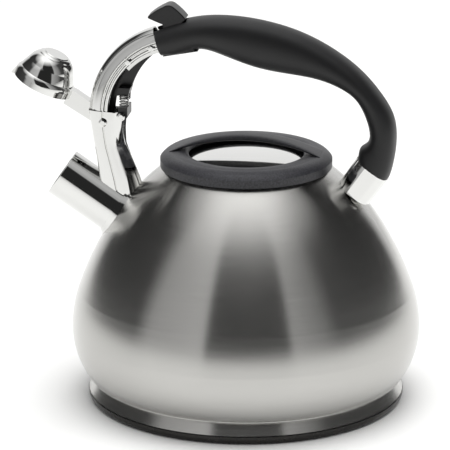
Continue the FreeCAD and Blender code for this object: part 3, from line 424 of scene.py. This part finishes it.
# Lid grip: a rounded bar moulded with the lid ring, wider at its two spoon ends. Its ends stop
# endGap inside the CAD bar's ends.
lidGrip = {"reach": 0.0475, "middleHalf": 0.0064, "endHalf": 0.0088, "top": 0.1712, "underMiddle": 0.1671,
           "topRadius": 0.1035, "endLow": 0.1597, "endDrop": 1.15, "leastThick": 0.0006, "endGap": 0.0001,
           "halfSteps": 20, "sectionPoints": 28, "squareness": 0.62}


def squared(value):
    # pushes a circle's point out towards a rounded square
    return math.copysign(abs(value) ** lidGrip["squareness"], value)


def gripLoop(x):
    # rounded section square to the bar, sunk into the ring at its ends
    share = abs(x) / lidGrip["reach"]
    half = lidGrip["middleHalf"] + (lidGrip["endHalf"] - lidGrip["middleHalf"]) * share ** 2
    top = lidGrip["top"] - lidGrip["topRadius"] + math.sqrt(lidGrip["topRadius"] ** 2 - x * x)
    drop = (lidGrip["underMiddle"] - lidGrip["endLow"]) * min(1, share ** 2 * lidGrip["endDrop"])
    under = min(max(lidGrip["underMiddle"] - drop, lidGrip["endLow"]), top - lidGrip["leastThick"])
    middle = (top + under) / 2
    loop = []
    for step in range(lidGrip["sectionPoints"]):
        angle = 2 * math.pi * step / lidGrip["sectionPoints"]
        loop.append((x, squared(math.cos(angle)) * half, middle + squared(math.sin(angle)) * (top - under) / 2))
    return loop


def makeLidGrip():
    reach = min(lidGrip["reach"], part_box("lid_grip")[1].x - lidGrip["endGap"])
    steps = lidGrip["halfSteps"]
    grip = sweptMesh("lidGrip", [gripLoop(reach * (step / steps - 1)) for step in range(2 * steps + 1)])
    softShade(grip)
    grip.data.materials.append(finishes["lid_nylon"])
    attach(grip, "lid")
    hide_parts("lid_grip")


makeLidGrip()
print("lid grip made")

# Floor: pale painted board, nearly even, with drifts of tone about a third of a metre across.
floorLook = {"size": 12.0, "drop": 0.0001, "darker": "#f1f1f0", "lighter": "#f7f7f6", "roughness": 0.7,
             "driftSpots": 3.0}


def makeFloor():
    half = floorLook["size"] / 2
    mesh = bpy.data.meshes.new("floor")
    corners = [(-half, -half), (half, -half), (half, half), (-half, half)]
    mesh.from_pydata([(x, y, -floorLook["drop"]) for x, y in corners], [], [(0, 1, 2, 3)])
    floor = addToScene("floor", mesh)
    material, tree, shader = newMaterial("paleFloor", Roughness=floorLook["roughness"])
    place = addNode(tree, "ShaderNodeTexCoord").outputs["Object"]
    drift = addNode(tree, "ShaderNodeTexNoise", {"Scale": floorLook["driftSpots"], "Detail": 2.0}, Vector=place)
    tint = addNode(tree, "ShaderNodeMix", {"data_type": "RGBA", "in6": linearColour(floorLook["darker"]),
                                           "in7": linearColour(floorLook["lighter"])}, in0=drift.outputs[0])
    joinTo(tree, shader, Base_Color=tint.outputs[2])
    mesh.materials.append(material)


# Room: brightness of the walls by angle in degrees, from straight behind the kettle (-180) round by
# the spout's side to the viewer (0) and back by the other side. It is bright behind, dark at both
# sides and at the viewer, with a lit strip on each side of the viewer. The ceiling fades in by
# height, from 0 level with the kettle to 1 straight above it.
room = {"walls": [(-180, 1.0), (-152, 0.9), (-140, 0.03), (-80, 0.06), (-68, 0.48), (-29, 0.62), (-26, 0.025),
                  (28, 0.025), (32, 0.46), (54, 0.26), (66, 0.07), (138, 0.03), (150, 0.9), (180, 1.0)],
        "ceilingFade": [(0.0, 0.0), (0.7, 0.0), (0.88, 0.45), (1.0, 1.0)],
        "ceiling": 1.7, "fill": 0.42, "backdrop": 1.08}
camera = {"azimuth": 8.0, "elevation": 17.7, "distance": 2.4, "lens": 303.4, "sensor": 36,
          "aimRight": -0.0134, "aimUp": 0.0344, "aimHeight": 0.075}
overhead = {"place": (0.1, 0.1, 2.2), "aim": (0, 0, 0), "side": 2.4, "power": 66}


def makeRoom():
    world = bpy.data.worlds.new("studioRoom")
    bpy.context.scene.world = world
    world.use_nodes = True
    tree = world.node_tree
    azimuth = math.radians(camera["azimuth"])
    way = addNode(tree, "ShaderNodeTexCoord").outputs["Generated"]
    right, front = [addNode(tree, "ShaderNodeVectorMath", {"operation": "DOT_PRODUCT", "in1": axis}, in0=way)
                    for axis in ((math.cos(azimuth), math.sin(azimuth), 0),
                                 (math.sin(azimuth), -math.cos(azimuth), 0))]
    turn = addNode(tree, "ShaderNodeMath", {"operation": "ARCTAN2"}, in0=right.outputs["Value"],
                   in1=front.outputs["Value"])
    share = addNode(tree, "ShaderNodeMapRange", {"in1": -math.pi, "in2": math.pi}, in0=turn.outputs[0])
    walls = ramp(tree, share.outputs[0], [((angle + 180) / 360, level) for angle, level in room["walls"]])
    up = addNode(tree, "ShaderNodeSeparateXYZ", Vector=way)
    light = walls.outputs[0]
    rays = addNode(tree, "ShaderNodeLightPath")
    # the ceiling over the walls, an even fill for matt surfaces, and a white backdrop for the viewer
    for level, share in (("ceiling", ramp(tree, up.outputs[2], room["ceilingFade"]).outputs[0]),
                         ("fill", rays.outputs["Is Diffuse Ray"]), ("backdrop", rays.outputs["Is Camera Ray"])):
        light = addNode(tree, "ShaderNodeMix", {"data_type": "RGBA", "in7": grey(room[level])},
                        in0=share, in6=light).outputs[2]
    tree.links.new(light, tree.nodes["Background"].inputs["Color"])


def makeLamp():
    light = bpy.data.lights.new("overhead", "AREA")
    light.shape = "RECTANGLE"
    light.size = light.size_y = overhead["side"]
    light.energy = overhead["power"]
    lamp = addToScene("overhead", light)
    lamp.location = overhead["place"]
    lamp.rotation_euler = (Vector(overhead["aim"]) - lamp.location).to_track_quat("-Z", "Y").to_euler()
    lamp.visible_glossy = False


def makeCamera():
    turn, rise = math.radians(camera["azimuth"]), math.radians(camera["elevation"])
    right = Vector((math.cos(turn), math.sin(turn), 0))
    back = Vector((math.sin(turn) * math.cos(rise), -math.cos(turn) * math.cos(rise), math.sin(rise)))
    up = back.cross(right)
    centre = Vector((0, 0, camera["aimHeight"]))
    lens = bpy.data.cameras.new("camera")
    lens.lens = camera["lens"]
    lens.sensor_width = camera["sensor"]
    eye = addToScene("camera", lens)
    eye.location = centre + back * camera["distance"]
    aim = centre + right * camera["aimRight"] + up * camera["aimUp"]
    eye.rotation_euler = (aim - eye.location).to_track_quat("-Z", "Y").to_euler()
    bpy.context.scene.camera = eye


makeFloor()
makeRoom()
makeLamp()
makeCamera()
bpy.context.scene.view_settings.view_transform = "Standard"
print("floor, room, lamp and camera ready")
